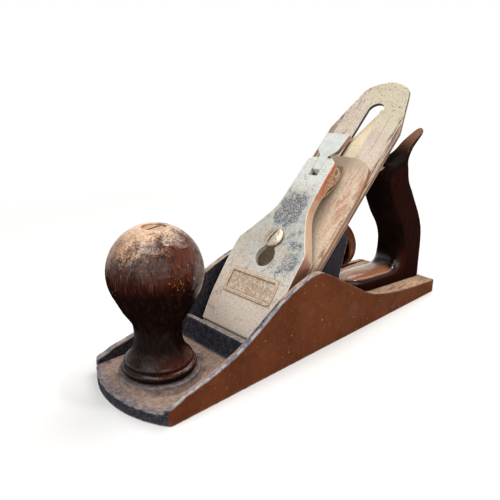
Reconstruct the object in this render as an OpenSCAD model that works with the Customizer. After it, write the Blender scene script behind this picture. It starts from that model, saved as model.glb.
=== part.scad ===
// Smoothing plane with a metal body, an adjustable frog, a double iron and two wooden grips.
// +X points to the toe, +Y to the left cheek and +Z up. The origin is the middle of the sole.

/* [Sole and cheeks] */
// Length of the sole, toe to heel
sole_l = 245; // [235:1:260]
// Width of the sole
sole_w = 63.5; // [61.5:0.5:68]
// Thickness of the sole casting
sole_t = 5.5; // [4.5:0.5:6]
// Thickness of each cheek
cheek_t = 3.3; // [2.8:0.1:3.6]
// Height of the cheeks at their highest point
cheek_h = 46.3; // [42:0.5:50]
// Height of the low rim at the heel
heel_rim = 8.2; // [7.5:0.1:10]
// How far the toe bows forward of its corners
toe_bow = 10; // [6:1:16]
// How far the heel bows backward of its corners
heel_bow = 3; // [2:0.5:6]
// Rounding of the four upright corners of the casting
corner_r = 2.5; // [1.5:0.5:4]
// Height of the wall across the front of the mouth
throat_wall_h = 15.6; // [12:0.5:18]
// Width of the mouth
mouth_w = 55; // [54.5:0.1:56]
// Opening of the mouth in front of the iron
mouth_gap = 2.2; // [2:0.1:3]

/* [Bed and frog] */
// Slope of the bed
bed_slope = 45; // [44:0.5:46]
// Where the bed meets the sole, forward of the middle
bed_x = 49.4; // [48:0.2:51]
// Width of the frog
frog_w = 45; // [43:0.5:48]
// Length of the bed along its slope
frog_top = 134; // [133:0.5:137]
// Thickness of the frog behind the bed
frog_plate = 6.5; // [6:0.25:7]
// Travel of the frog each way
frog_travel = 1.5; // [1:0.25:1.75]
// Diameter of the frog screws
frog_screw_d = 6; // [5:0.5:6.5]

/* [Irons] */
// Width of the plane iron
iron_w = 50.8; // [48:0.4:52]
// Thickness of the plane iron
iron_t = 2.2; // [2:0.1:2.4]
// Length of the plane iron
iron_l = 203; // [198:1:206]
// Width of the slot in the plane iron
iron_slot_w = 11.2; // [10.8:0.2:11.6]
// Bevel of the cutting edge
iron_bevel = 25; // [22:1:30]
// Thickness of the cap iron
cap_t = 2.4; // [2.2:0.1:2.5]
// Length of the cap iron
cap_l = 137; // [135:1:139]

/* [Lever cap and cam] */
// Width of the lever cap at the lip
lever_w = 50.6; // [48:0.2:51]
// Length of the lever cap
lever_l = 113; // [111:0.5:114]
// Width of the lever cap's neck
neck_w = 20.4; // [19:0.2:24]
// Wall of the lever cap
lever_wall = 2.6; // [2.2:0.1:3]
// Width of the cam lever's paddle
paddle_w = 16; // [15:0.2:18]
// Diameter of the cam pin
cam_pin_d = 4; // [3:0.25:4.5]
// Diameter of the lever cap screw's head
cap_screw_head_d = 12; // [11:0.25:12.5]

/* [Depth and lateral adjusters] */
// Diameter of the depth wheel
wheel_d = 31.8; // [28:0.2:33]
// Height of the depth wheel's axis above the sole
wheel_h = 45.5; // [44.5:0.25:46.5]
// Diameter of the depth stud
stud_d = 7.1; // [6:0.1:7.5]
// Width of the lateral lever
lateral_w = 14; // [12:0.5:15]
// Diameter of the lateral roller
roller_d = 10.6; // [9:0.1:10.6]

/* [Knob and tote] */
// Diameter of the knob's ball
knob_d = 44.8; // [42:0.4:48]
// Height of the knob above its boss
knob_h = 70.2; // [66:0.6:75]
// Distance from the toe to the knob's axis
knob_setback = 26.5; // [25:0.5:28]
// Diameter of the brass nuts on the grips
nut_d = 11; // [10:0.5:12]
// Thickness of the tote
tote_w = 24; // [20:0.5:26]
// Turn of the tote on the sole, as it was found
tote_turn = 7; // [0:0.5:7.5]
// Distance from the heel to the tote's pivot
tote_setback = 54.5; // [54:0.5:58]

/* [Hidden] */
$fn = 64;

// Radial clearance of a screw or a pin in its hole
fit = 0.05;
// Gap between curved faces that meet
gap = 0.3;
// Clearance between the frog's bed and the iron that lies on it
bed_gap = 0.02;
// Overlap of a cut past the face that it goes through
past = 1;
// Depth of a cut that goes right through the frog
deep = 90;

toe_x = sole_l / 2;
heel_x = -sole_l / 2;
cheek_in = sole_w / 2 - cheek_t;

// Places along the bed, measured up the slope from where the bed meets the sole
lever_screw_s = 65;
cap_screw_s = 80;
yoke_s = 93;
roller_s = 118;
lateral_pivot_s = 129;

// A smooth curve through the points p, with n steps from each point to the next
function blend(a, b, c, d, t) = 0.5 * (2 * b + (c - a) * t
    + (2 * a - 5 * b + 4 * c - d) * t * t + (3 * b - a - 3 * c + d) * t * t * t);
function curve(p, n) = [
    for (i = [0 : len(p) - 2])
        for (k = [0 : n - 1])
            blend(p[max(i - 1, 0)], p[i], p[i + 1], p[min(i + 2, len(p) - 1)], k / n),
    p[len(p) - 1]
];
function backward(p) = [for (i = [len(p) - 1 : -1 : 0]) p[i]];
function mirrored(p) = concat(p, [for (q = backward(p)) [q[0], -q[1]]]);
function raised(p, h) = [for (q = p) [q[0], q[1] + h]];

// The bed's own frame: X up the slope, Z away from the bed
module on_bed() {
    translate([bed_x, 0, 0]) rotate([0, bed_slope, 0]) mirror([1, 0, 0]) children();
}
// World x and z of a point s up the bed and h away from it
function bed_px(s, h) = bed_x - s * cos(bed_slope) + h * sin(bed_slope);
function bed_pz(s, h) = s * sin(bed_slope) + h * cos(bed_slope);

// A side outline of x and z points, given width w across the plane
module across(w) {
    translate([0, w / 2, 0]) rotate([90, 0, 0]) linear_extrude(w) children();
}
// A cylinder of diameter d from x0 to x1 along X
module along_x(x0, x1, d) {
    translate([x0, 0, 0]) rotate([0, 90, 0]) cylinder(h = x1 - x0, d = d);
}
// A cylinder of diameter d and length l across the plane
module cross_pin(l, d) {
    rotate([90, 0, 0]) cylinder(h = l, d = d, center = true);
}
// A straight slot with round ends of diameter d, from x0 to x1, h high
module round_slot(x0, x1, d, h) {
    for (x = [x0, x1]) translate([x, 0, 0]) cylinder(h = h, d = d);
    translate([x0, -d / 2, 0]) cube([x1 - x0, d, h]);
}

// Sole and cheeks

toe_r = (pow(sole_w / 2, 2) + pow(toe_bow, 2)) / (2 * toe_bow);
heel_r = (pow(sole_w / 2, 2) + pow(heel_bow, 2)) / (2 * heel_bow);
toe_rim = heel_rim + 1;
cheek_peak_x = bed_x - 32;
// The cheek's upper edge from the heel over its peak to the toe
cheek_line = curve([
    [heel_x - past, heel_rim], [heel_x + 10, heel_rim + 1], [heel_x + 30, heel_rim + 2.6],
    [heel_x + 54, heel_rim + 5.2], [heel_x + 75, heel_rim + 9.2], [heel_x + 88, heel_rim + 13.5],
    [cheek_peak_x - 39, heel_rim + 20.3], [cheek_peak_x - 25, cheek_h - 10.3],
    [cheek_peak_x - 8, cheek_h - 1.4], [cheek_peak_x, cheek_h], [cheek_peak_x + 9, cheek_h - 2],
    [cheek_peak_x + 23, cheek_h - 7.4], [bed_x, cheek_h - 12.6], [toe_x - 56, toe_rim + 14],
    [toe_x - 40, toe_rim + 7.5], [toe_x - 29, toe_rim + 4.4], [toe_x - 18, toe_rim + 2],
    [toe_x - 13, toe_rim], [toe_x + past, toe_rim - 3]
], 4);
boss_d = 39;
boss_h = 4;
boss_top = sole_t + boss_h;
knob_x = toe_x - knob_setback;
grip_bolt_d = 5.8;

// Frog seats and the boss of the adjusting screw
seat_x0 = bed_x - 58;
seat_x1 = bed_x - 21;
seat_h = 11.6;
foot_x1 = bed_x - 8.2;
foot_h = 7.3;
adjust_z = 14.5;
adjust_boss_w = 12;
adjust_boss_x0 = bed_x - 57.4;
adjust_boss_x1 = bed_x - 44;
adjust_boss_h = 20;
frog_screw_x = bed_x - 35.4;
frog_screw_y = 11.5;
edge_x = bed_px(0, 0) + iron_t / sin(bed_slope);
mouth_x1 = edge_x + mouth_gap;

// Tote frame: the pivot stands on the sole, and X runs forward in the tote's plane
tote_base = heel_rim;
tote_x = heel_x + tote_setback;
bolt_lean = 24;
bolt_foot = -48;
module in_tote() {
    translate([tote_x, 0, 0]) rotate([0, 0, -tote_turn]) children();
}
module along_bolt() {
    in_tote() translate([bolt_foot, 0, tote_base]) rotate([0, bolt_lean, 0]) children();
}

module sole_plan(h) {
    difference() {
        union() {
            intersection() {
                translate([toe_x - toe_r, -sole_w / 2, 0]) cube([toe_r, sole_w, h]);
                translate([toe_x - toe_r, 0, 0]) cylinder(h = h, r = toe_r, $fn = 180);
            }
            intersection() {
                translate([heel_x, -sole_w / 2, 0]) cube([sole_l - toe_r, sole_w, h]);
                translate([heel_x + heel_r, 0, 0]) cylinder(h = h, r = heel_r, $fn = 360);
            }
        }
        translate([toe_x - toe_r, 0, 0]) corner_cuts(toe_r, h);
        translate([heel_x + heel_r, 0, 0]) mirror([1, 0, 0]) corner_cuts(heel_r, h);
    }
}

// What comes off both corners of an end of radius end_r round the origin, so that they are rounded
module corner_cuts(end_r, h) {
    y = sole_w / 2 - corner_r;
    x = sqrt(pow(end_r - corner_r, 2) - y * y);
    reach = corner_r + past;
    to_end = [x, y] / norm([x, y]);
    for (side = [0, 1])
        mirror([0, side, 0]) difference() {
            translate([0, 0, -past]) linear_extrude(h + 2 * past)
                polygon([[x, y], [x, y + reach], [x + reach, y + reach], [x, y] + reach * to_end]);
            translate([x, y, -2 * past]) cylinder(h = h + 4 * past, r = corner_r, $fn = 48);
        }
}

module throat_wall() {
    run = 13;
    across(2 * cheek_in + cheek_t) polygon(concat(
        [[mouth_x1, 0], [mouth_x1 + 0.8, throat_wall_h], [mouth_x1 + 3.4, throat_wall_h]],
        curve([[mouth_x1 + 4, throat_wall_h - 0.7], [mouth_x1 + 5.6, throat_wall_h - 3.8],
            [mouth_x1 + 7.8, sole_t + 2.6], [mouth_x1 + 9.8, sole_t + 0.9],
            [mouth_x1 + run - 0.4, sole_t + 0.1], [mouth_x1 + run, sole_t - 0.2]], 3),
        [[mouth_x1 + run, 0]]
    ));
}

module frog_seats() {
    seat_w = 40;
    for (side = [-1, 1])
        translate([seat_x0, side * seat_w / 4 - seat_w / 4 + side * 3.5, sole_t - past])
            cube([seat_x1 - seat_x0, seat_w / 2, seat_h - sole_t + past]);
    translate([seat_x1 - past, -frog_w / 2, sole_t - past])
        cube([foot_x1 - seat_x1 + past, frog_w, foot_h - sole_t + past]);
    translate([adjust_boss_x0, -adjust_boss_w / 2, sole_t - past])
        cube([adjust_boss_x1 - adjust_boss_x0, adjust_boss_w, adjust_boss_h - sole_t + past]);
}

module mouth() {
    back = frog_travel / sin(bed_slope) + gap;
    intersection() {
        across(mouth_w) polygon([
            [bed_px(0, 0) - back + past, -past], [mouth_x1, -past], [mouth_x1, 3 * sole_t],
            [bed_px(3 * sole_t / sin(bed_slope), 0) - back, 3 * sole_t],
            [bed_px(0, 0) - back, 0]
        ]);
        translate([0, -sole_w, -past]) cube([toe_x, 2 * sole_w, throat_wall_h + 2 * past]);
    }
}

module plane_body() {
    color("#5b3a26")
    difference() {
        union() {
            intersection() {
                sole_plan(cheek_h + past);
                across(sole_w) polygon(concat(cheek_line, [[toe_x + past, 0], [heel_x - past, 0]]));
                union() {
                    translate([heel_x, -sole_w, 0]) cube([sole_l, 2 * sole_w, sole_t]);
                    for (side = [-1, 1])
                        translate([heel_x, side * (cheek_in + sole_w / 2) - sole_w / 2, 0])
                            cube([sole_l, sole_w, cheek_h]);
                    translate([heel_x, -sole_w, 0]) cube([tote_setback + 10, 2 * sole_w, tote_base]);
                }
            }
            throat_wall();
            frog_seats();
            translate([knob_x, 0, sole_t - past])
                cylinder(h = boss_h + past, d1 = boss_d + 3, d2 = boss_d);
        }
        mouth();
        translate([knob_x, 0, 2]) cylinder(h = boss_top, d = grip_bolt_d + 2 * fit);
        along_bolt() translate([0, 0, -4]) cylinder(h = 12, d = grip_bolt_d + 2 * fit);
        translate([0, 0, adjust_z])
            along_x(adjust_boss_x0 - past, adjust_boss_x1 + past, adjust_screw_d + 2 * fit);
        for (side = [-1, 1])
            translate([frog_screw_x, side * frog_screw_y, 1.5])
                cylinder(h = seat_h, d = frog_screw_d + 2 * fit);
    }
}

// Frog

adjust_screw_d = 5.8;
stud_boss_d = 13;
frog_back_x = bed_x - 62.4;
stud_boss_x0 = frog_back_x;
frog_floor = 5;
web_x0 = frog_back_x + 1;
web_x1 = web_x0 + 11.4;
web_z0 = adjust_boss_h + 1.5;
web_z1 = web_z0 + 9.5;
side_wall = 4;
top_plate = 9;
yoke_pivot_h = -8.6;
yoke_hub_d = 6;
yoke_gap_w = 2 * 9.3;
lug_t = 3.2;
recess_d = 3;
screw_recess_d = 4.5;
cap_screw_head = 15;
wide_s = 88;
neck_s = wide_s + 11;
hollow_s = 34;
hollow_z = 40;

// The frog seen from above the bed: full width below, drawn in like a neck above
module frog_plan() {
    half = frog_w / 2;
    neck = lateral_recess / 2 + 4.2;
    polygon(mirrored(concat([[-20, half], [wide_s, half]],
        curve([[wide_s + 3, half - 0.8], [wide_s + 7, half - 4], [neck_s, neck + 1.2],
            [neck_s + 6, neck], [frog_top - 5, neck], [frog_top - 1.5, neck - 1.2],
            [frog_top, neck - 4]], 3))));
}

module frog_side() {
    polygon([
        [foot_x1 - frog_travel - 0.6, foot_h], [seat_x1 + 2.5, foot_h], [seat_x1 + 2.5, seat_h],
        [seat_x0 - 0.5, seat_h], [frog_back_x, 18], [frog_back_x - 2.2, 35], [frog_back_x - 9.1, 57.5],
        [bed_px(neck_s, -top_plate), bed_pz(neck_s, -top_plate)],
        [bed_px(frog_top - 2, -top_plate), bed_pz(frog_top - 2, -top_plate)],
        [bed_px(frog_top, -top_plate + 2), bed_pz(frog_top, -top_plate + 2)],
        [bed_px(frog_top, -bed_gap), bed_pz(frog_top, -bed_gap)],
        [bed_px(foot_h / sin(bed_slope) + 1.2, -bed_gap), bed_pz(foot_h / sin(bed_slope) + 1.2, -bed_gap)],
    ]);
}

module frog_hollow() {
    inside = frog_w - 2 * side_wall;
    difference() {
        across(inside) polygon([
            [bed_px(hollow_s, -frog_plate), bed_pz(hollow_s, -frog_plate)],
            [bed_px(neck_s, -frog_plate), bed_pz(neck_s, -frog_plate)],
            [bed_px(neck_s + 4, -top_plate - 4), bed_pz(neck_s + 4, -top_plate - 4)],
            [bed_x - deep, hollow_z], [bed_x - deep, seat_h + frog_floor],
            [bed_px(hollow_s, -frog_plate) - 2, seat_h + frog_floor]
        ]);
        translate([0, 0, wheel_h]) along_x(stud_boss_x0, bed_x - 48, stud_boss_d);
        on_bed() translate([lever_screw_s, 0, -10]) cylinder(h = 10, d = 12);
        translate([web_x0, -frog_w / 2, web_z0]) cube([web_x1 - web_x0, frog_w, web_z1 - web_z0]);
        for (side = [-1, 1])
            on_bed() translate([yoke_s - 7, side * (yoke_gap_w / 2 + lug_t / 2) - lug_t / 2, -13])
                cube([14, lug_t, 13]);
    }
}

module frog() {
    floor_z = seat_h + frog_floor;
    shaft = cap_head_room;
    color("#2a3246")
    difference() {
        intersection() {
            across(frog_w) frog_side();
            on_bed() translate([0, 0, -deep]) linear_extrude(2 * deep) frog_plan();
        }
        frog_hollow();
        translate([adjust_boss_x0 - 16, -adjust_boss_w / 2 - 1.5, seat_h - past])
            cube([adjust_boss_x1 - adjust_boss_x0 + 16 + frog_travel + 0.7, adjust_boss_w + 3,
                web_z0 - seat_h + past]);
        for (side = [-1, 1]) translate([frog_screw_x, side * frog_screw_y, 0]) {
            round_slot(-frog_travel - 0.2, frog_travel + 0.2, frog_screw_d + 0.6, floor_z + past);
            translate([0, 0, floor_z])
                round_slot(-frog_travel - 0.2, frog_travel + 0.2, shaft, 40);
        }
        translate([0, 0, wheel_h]) along_x(stud_boss_x0 - past, stud_boss_x0 + 6, stud_d + 2 * fit);
        on_bed() {
            translate([lever_screw_s, 0, -7.6]) cylinder(h = 8.6, d = lever_screw_d + 2 * fit);
            translate([0, 0, -screw_recess_d]) round_slot(cap_screw_s - 1, cap_screw_s + 1,
                cap_screw_head + 1.2, screw_recess_d + past);
            translate([yoke_s - 3.4, -3.4, -15]) cube([6.8, 6.8, 16]);
            translate([roller_s - 9, -lateral_recess / 2, -recess_d])
                cube([frog_top - roller_s + 10, lateral_recess, recess_d + past]);
            translate([lateral_pivot_s, 0, -top_plate - past])
                cylinder(h = top_plate + 2 * past, d = lateral_rivet_d + 2 * fit);
            translate([yoke_s, 0, yoke_pivot_h]) {
                cross_pin(yoke_gap_w + 2 * lug_t + past, yoke_pin_d + 2 * fit);
                cross_pin(yoke_gap_w, yoke_hub_d + 1);
            }
        }
        translate([web_x0 - past, 0, clip_screw_z])
            along_x(0, 7, clip_screw_d + 2 * fit);
    }
}

cap_head_room = 13.4;
lateral_recess = 20;
lateral_rivet_d = 5;
yoke_pin_d = 3;
clip_screw_z = web_z0 + 4.6;
clip_screw_d = 3;
lever_screw_d = 6.4;

module frog_screws() {
    washer = 1.2;
    head_h = 4;
    color("#6d6a66")
    for (side = [-1, 1]) translate([frog_screw_x, side * frog_screw_y, 0]) difference() {
        union() {
            translate([0, 0, 2.5]) cylinder(h = seat_h + frog_floor + washer - 2, d = frog_screw_d);
            translate([0, 0, seat_h + frog_floor + washer]) cylinder(h = head_h, d = 10);
        }
        translate([-6, -0.7, seat_h + frog_floor + washer + head_h - 1.6]) cube([12, 1.4, 3]);
    }
}

module frog_washers() {
    color("#8a8782")
    for (side = [-1, 1]) translate([frog_screw_x, side * frog_screw_y, seat_h + frog_floor])
        difference() {
            cylinder(h = 1.2, d = 12);
            translate([0, 0, -past]) cylinder(h = 4, d = frog_screw_d + 2 * fit);
        }
}

// Adjusting screw of the frog, and the clip that holds it
clip_t = 1.5;
adjust_neck_d = 4.4;
collar_x = web_x0 + 0.3;

module frog_adjusting_screw() {
    head_x = web_x0 - clip_t - 0.3;
    color("#77736d")
    translate([0, 0, adjust_z]) difference() {
        union() {
            along_x(head_x - past, adjust_boss_x1 - 2, adjust_neck_d);
            along_x(collar_x + 1, adjust_boss_x1 - 2, adjust_screw_d);
            along_x(collar_x, collar_x + 1.5, 9);
            along_x(head_x - 6, head_x, 9.4);
        }
        translate([head_x - 7, -6, -0.7]) cube([2.8, 12, 1.4]);
    }
}

module frog_clip() {
    color("#8f8b85")
    difference() {
        translate([web_x0 - clip_t, -6.5, adjust_z - 3]) cube([clip_t, 13, web_z1 - adjust_z + 1]);
        translate([web_x0 - clip_t - past, 0, adjust_z])
            along_x(0, clip_t + 2 * past, adjust_neck_d + 0.6);
        translate([web_x0 - clip_t - past, -adjust_neck_d / 2 - gap, adjust_z - 5])
            cube([clip_t + 2 * past, adjust_neck_d + 2 * gap, 5]);
        translate([web_x0 - clip_t - past, 0, clip_screw_z])
            along_x(0, clip_t + 2 * past, clip_screw_d + 2 * fit);
    }
}

module frog_clip_screw() {
    color("#77736d")
    translate([web_x0 - clip_t, 0, clip_screw_z]) difference() {
        union() {
            along_x(0, clip_t + 5, clip_screw_d);
            along_x(-2, 0, 6);
        }
        translate([-3, -4, -0.5]) cube([2, 8, 1]);
    }
}

// Yoke, its pin, the stud and the depth wheel

wheel_x0 = bed_x - 90.4;
wheel_rim = 6.5;
groove_s = 9.8;
groove_w = 5.4;
groove_x0 = wheel_x0 + groove_s;
groove_x1 = groove_x0 + groove_w;
nut_end = 17;
hub_d = 18;
groove_d = 12;
fork_x = (groove_x0 + groove_x1) / 2;
fork_t = 2.2;
fork_in = groove_d / 2 + gap;
fork_out = yoke_gap_w / 2 - gap;

module yoke_arm_side() {
    px = bed_px(yoke_s, yoke_pivot_h);
    pz = bed_pz(yoke_s, yoke_pivot_h);
    polygon([
        [px + 2.6, pz - 1.4], [fork_x + fork_t / 2, wheel_h + 7.6],
        [fork_x + fork_t / 2, wheel_h - 3.4], [fork_x, wheel_h - 4.6],
        [fork_x - fork_t / 2, wheel_h - 3.4], [fork_x - fork_t / 2, wheel_h + 7.6],
        [px - 2.8, pz + 1]
    ]);
}

module yoke() {
    color("#6f6a64")
    difference() {
        union() {
            on_bed() translate([yoke_s, 0, yoke_pivot_h]) cross_pin(2 * fork_out, yoke_hub_d);
            for (side = [-1, 1])
                translate([0, side * (fork_in + fork_out) / 2, 0])
                    across(fork_out - fork_in) yoke_arm_side();
            on_bed() translate([yoke_s - 1.5, -2.6, yoke_pivot_h])
                cube([3, 5.2, iron_t + cap_t - 0.3 - yoke_pivot_h]);
        }
        on_bed() translate([yoke_s, 0, yoke_pivot_h]) cross_pin(yoke_gap_w, yoke_pin_d + 2 * fit);
    }
}

module yoke_pin() {
    color("#8a8782")
    on_bed() translate([yoke_s, 0, yoke_pivot_h]) cross_pin(yoke_gap_w + 2 * lug_t, yoke_pin_d);
}

module depth_stud() {
    color("#77736d")
    translate([0, 0, wheel_h]) along_x(wheel_x0 + 1.5, stud_boss_x0 + 5.8, stud_d);
}

module depth_nut() {
    rim_r = wheel_d / 2;
    bore_r = stud_d / 2 + fit;
    color("#a4621f")
    translate([wheel_x0, 0, wheel_h]) rotate([0, 90, 0]) rotate_extrude($fn = 96) polygon([
        [bore_r, 0], [6, 0], [7, 1.2], [rim_r - 3.2, 1.2], [rim_r - 2.4, 0], [rim_r - 0.8, 0],
        [rim_r, 0.8], [rim_r, 2], [rim_r - 0.7, 2.4], [rim_r - 0.7, 2.9], [rim_r, 3.3],
        [rim_r, wheel_rim - 0.8], [rim_r - 0.8, wheel_rim], [rim_r - 3.4, wheel_rim],
        [rim_r - 4.4, wheel_rim - 2.2], [hub_d / 2 + 1, wheel_rim - 2.2], [hub_d / 2, wheel_rim - 1],
        [hub_d / 2, groove_s], [groove_d / 2, groove_s], [groove_d / 2, groove_s + groove_w],
        [hub_d / 2, groove_s + groove_w], [hub_d / 2, nut_end], [bore_r, nut_end]
    ]);
}

// Lateral lever with its rivet and roller

lever_h0 = -recess_d + 0.1;
lever_t = 2.3;
lateral_end = frog_top + 56;
lateral_set = 3;
lateral_bend_s = lateral_end - 39;
lateral_lean = 16;

module lateral_plan() {
    half = lateral_w / 2;
    p = curve([
        [roller_s - lateral_pivot_s - 5.6, 2.6], [roller_s - lateral_pivot_s - 2.6, 5.4],
        [roller_s - lateral_pivot_s + 3, half - 0.6], [0, half], [9, half],
        [lateral_end - lateral_pivot_s - 20, half - 2.2], [lateral_end - lateral_pivot_s, half - 3.4]
    ], 4);
    polygon(mirrored(p));
}

module lateral_lever() {
    tab_l = 11;
    tab_w = 10;
    bend = lateral_bend_s - lateral_pivot_s;
    end = lateral_end - lateral_pivot_s;
    drop = (end - bend) * tan(lateral_lean);
    color("#c9b98f")
    on_bed() translate([lateral_pivot_s, 0, lever_h0]) difference() {
        union() {
            linear_extrude(lever_t) intersection() {
                lateral_plan();
                translate([-30, -20]) square([42, 40]);
            }
            rotate([0, 0, -lateral_set]) intersection() {
                translate([0, 0, -30]) linear_extrude(60) lateral_plan();
                across(lateral_w) polygon([
                    [6, 0], [bend, 0], [end, -drop], [end, lever_t - drop], [bend, lever_t],
                    [6, lever_t]
                ]);
            }
            rotate([0, 0, -lateral_set])
                translate([end - lever_t, -tab_w / 2, lever_t - drop - tab_l])
                    cube([lever_t + 0.3, tab_w, tab_l - 0.3]);
        }
        translate([0, 0, -past]) cylinder(h = 5, d = lateral_rivet_d + 2 * fit);
        translate([roller_s - lateral_pivot_s, 0, -past]) cylinder(h = 5, d = 3 + 2 * fit);
    }
}

module lateral_lever_rivet() {
    color("#8a8782")
    on_bed() translate([lateral_pivot_s, 0, -top_plate]) {
        cylinder(h = top_plate + lever_h0 + lever_t, d = lateral_rivet_d);
        translate([0, 0, top_plate + lever_h0 + lever_t]) cylinder(h = 0.4, d = 8);
    }
}

module lateral_roller() {
    color("#b5ab93")
    on_bed() translate([roller_s, 0, lever_h0]) {
        cylinder(h = lever_t, d = 3);
        translate([0, 0, lever_t + 0.1]) cylinder(h = iron_t - 0.2 - lever_h0 - lever_t, d = roller_d);
        translate([0, 0, lever_t]) cylinder(h = 0.2, d = 3);
    }
}

// Irons. The iron's flat face is iron_t above the bed.

edge_s = -iron_t * cos(bed_slope) / sin(bed_slope) + 0.15;
iron_top = edge_s + iron_l;
slot_top = iron_top - 18.4;
slot_low = 52;

module iron_plan() {
    half = iron_w / 2;
    polygon(mirrored(concat(
        [[edge_s, half], [iron_top - 41, half]],
        curve([[iron_top - 37, half - 1], [iron_top - 24, half - 4.7], [iron_top - 9.8, half - 8.7],
            [iron_top - 5.6, half - 11], [iron_top - 2.6, half - 16], [iron_top - 0.5, half - 22],
            [iron_top, 0.1]], 4)
    )));
}

module plane_iron() {
    color("#b9ad97")
    on_bed() difference() {
        intersection() {
            linear_extrude(iron_t) iron_plan();
            across(iron_w) polygon([
                [edge_s, iron_t], [edge_s + iron_t / tan(iron_bevel), 0], [iron_top, 0],
                [iron_top, iron_t]
            ]);
        }
        translate([0, 0, -past]) {
            round_slot(slot_low, slot_top - iron_slot_w / 2, iron_slot_w, iron_t + 2 * past);
            translate([slot_low, 0, 0]) cylinder(h = iron_t + 2 * past, d = cap_screw_head + 1.4);
        }
    }
}

cap_s0 = edge_s + 1.2;
cap_s1 = cap_s0 + cap_l;
hump = curve([[cap_s0, 0], [cap_s0 + 3, 1.3], [cap_s0 + 8, 2.4], [cap_s0 + 14, 2.1],
    [cap_s0 + 22, 0.6], [cap_s0 + 28, 0]], 4);

module cap_plan() {
    half = iron_w / 2 - 0.2;
    polygon(mirrored(concat([[cap_s0, half], [cap_s1 - 30, half]],
        curve([[cap_s1 - 26, half - 0.3], [cap_s1 - 15, half - 1.6], [cap_s1 - 7.4, half - 3.6],
            [cap_s1 - 4, half - 6.4], [cap_s1 - 1.4, half - 11.8], [cap_s1, half - 18],
            [cap_s1, 0.1]], 4)
    )));
}

module cap_iron() {
    window = 6;
    color("#c4b598")
    on_bed() difference() {
        intersection() {
            translate([0, 0, iron_t]) linear_extrude(cap_t + 6) cap_plan();
            across(iron_w) polygon(concat(
                raised(hump, iron_t), [[cap_s1, iron_t], [cap_s1, iron_t + cap_t]],
                backward(raised([for (q = hump) if (q[0] > cap_s0 + 1) q], iron_t + cap_t))
            ));
        }
        translate([0, 0, iron_t - past]) {
            round_slot(lever_screw_s - 6, lever_screw_s + 4, lever_screw_d + 2.6, cap_t + 6);
            translate([cap_screw_s, 0, 0]) cylinder(h = cap_t + 6, d = cap_screw_d + 2 * fit);
            translate([yoke_s - window / 2 + 1.2, -3, 0]) cube([window - 2.4, 6, cap_t + 6]);
        }
    }
}

cap_screw_d = 7.8;

module cap_iron_screw() {
    head_h = screw_recess_d - 0.6;
    color("#8a8782")
    on_bed() translate([cap_screw_s, 0, 0]) difference() {
        union() {
            translate([0, 0, -head_h]) cylinder(h = head_h - 0.1, d = cap_screw_head);
            translate([0, 0, -1]) cylinder(h = iron_t + cap_t + 1.6, d = cap_screw_d);
        }
        translate([-9, -0.8, -head_h - past]) cube([18, 1.6, 1.3 + past]);
    }
}

// Lever cap

lip_s = 9.2;
lever_s1 = lip_s + lever_l;
shoulder_s = lip_s + 51.6;
face = curve([
    [lip_s, 8.4], [lip_s + 5, 10.1], [lip_s + 10, 11.7], [lip_s + 17, 13.6], [lip_s + 26, 15.3],
    [lip_s + 39, 17.4], [lip_s + 52, 18.6], [lip_s + 72, 19.3], [lip_s + 92, 19.8],
    [lever_s1, 20.1]
], 3);
under = concat([[lip_s, 7.3], [lip_s + 7, 7.4], [lip_s + 22, 8.2]],
    curve([[shoulder_s - 2, 9.3], [shoulder_s + 12, 10.4], [shoulder_s + 26, 13],
        [lever_s1 - 24, 13.8], [lever_s1 - 16, 12.6], [lever_s1 - 11, 10.4], [lever_s1 - 6, 9.8],
        [lever_s1, 10.6]], 3));
notch_s = lever_s1 - 13;
notch_w = 6.4;
cam_s = lever_s1 - 5;
cam_h = 14.2;

// Half the lever cap's outline, with the walls drawn in by inset
function lever_half(inset) = let (w = lever_w / 2 - inset, n = neck_w / 2 - inset) concat(
    [[lip_s + 0.6 * inset, w], [shoulder_s - 3, w]],
    curve([[shoulder_s, w - 0.5], [shoulder_s + 3, w - 2.6], [shoulder_s + 10.5, n + 8],
        [shoulder_s + 17, n + 4.4], [shoulder_s + 23, n + 1.8], [shoulder_s + 30, n + 0.6],
        [shoulder_s + 46, n], [lever_s1 - 4 - 0.6 * inset, n - 0.3], [lever_s1 - 1.4 - inset, n - 1.6],
        [lever_s1 - inset, n - 3.6]], 3)
);

// The lever cap between its lower edge and its face, with the face lowered by drop
module lever_band(low, drop) {
    across(lever_w + 2) polygon(concat(low, backward(raised(face, -drop))));
}

module lever_cap() {
    plate = 3;
    color("#b3b4b2")
    on_bed() difference() {
        union() {
            intersection() {
                linear_extrude(30) polygon(mirrored(lever_half(0)));
                lever_band(under, 0);
            }
            plaque_bead();
        }
        intersection() {
            linear_extrude(30) polygon(mirrored(lever_half(lever_wall)));
            lever_band(bed_line, plate);
            translate([lip_s + 12, -lever_w, 0]) cube([lever_l, 2 * lever_w, 30]);
        }
        translate([0, 0, 5]) {
            translate([lever_screw_s - 11.5, 0, 0]) cylinder(h = 20, d = cap_screw_head_d + 1);
            round_slot(lever_screw_s - 11.5, lever_screw_s, lever_screw_d + 0.8, 20);
        }
        translate([notch_s, -notch_w / 2, 5]) cube([20, notch_w, 20]);
        translate([cam_s, 0, cam_h]) cross_pin(neck_w + 4, cam_pin_d + 2 * fit);
        plaque();
    }
}

// A shallow panel in the face, left plain, with a raised bead round it
plaque_s = lip_s + 25.8;
plaque_l = 36.6;
plaque_w = 14.4;
bead_w = 1.7;
bead_h = 0.6;
plaque_r = 3;
bed_line = [[lip_s, 0], [lever_s1, 0]];

module plaque() {
    difference() {
        translate([plaque_s, 0, 0]) panel(bead_w, 30);
        lever_band(bed_line, 0.3);
    }
}
module plaque_bead() {
    intersection() {
        translate([plaque_s, 0, 0]) difference() {
            panel(0, 30);
            translate([0, 0, -past]) panel(bead_w, 32);
        }
        lever_band(raised(under, 1), -bead_h);
    }
}
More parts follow.
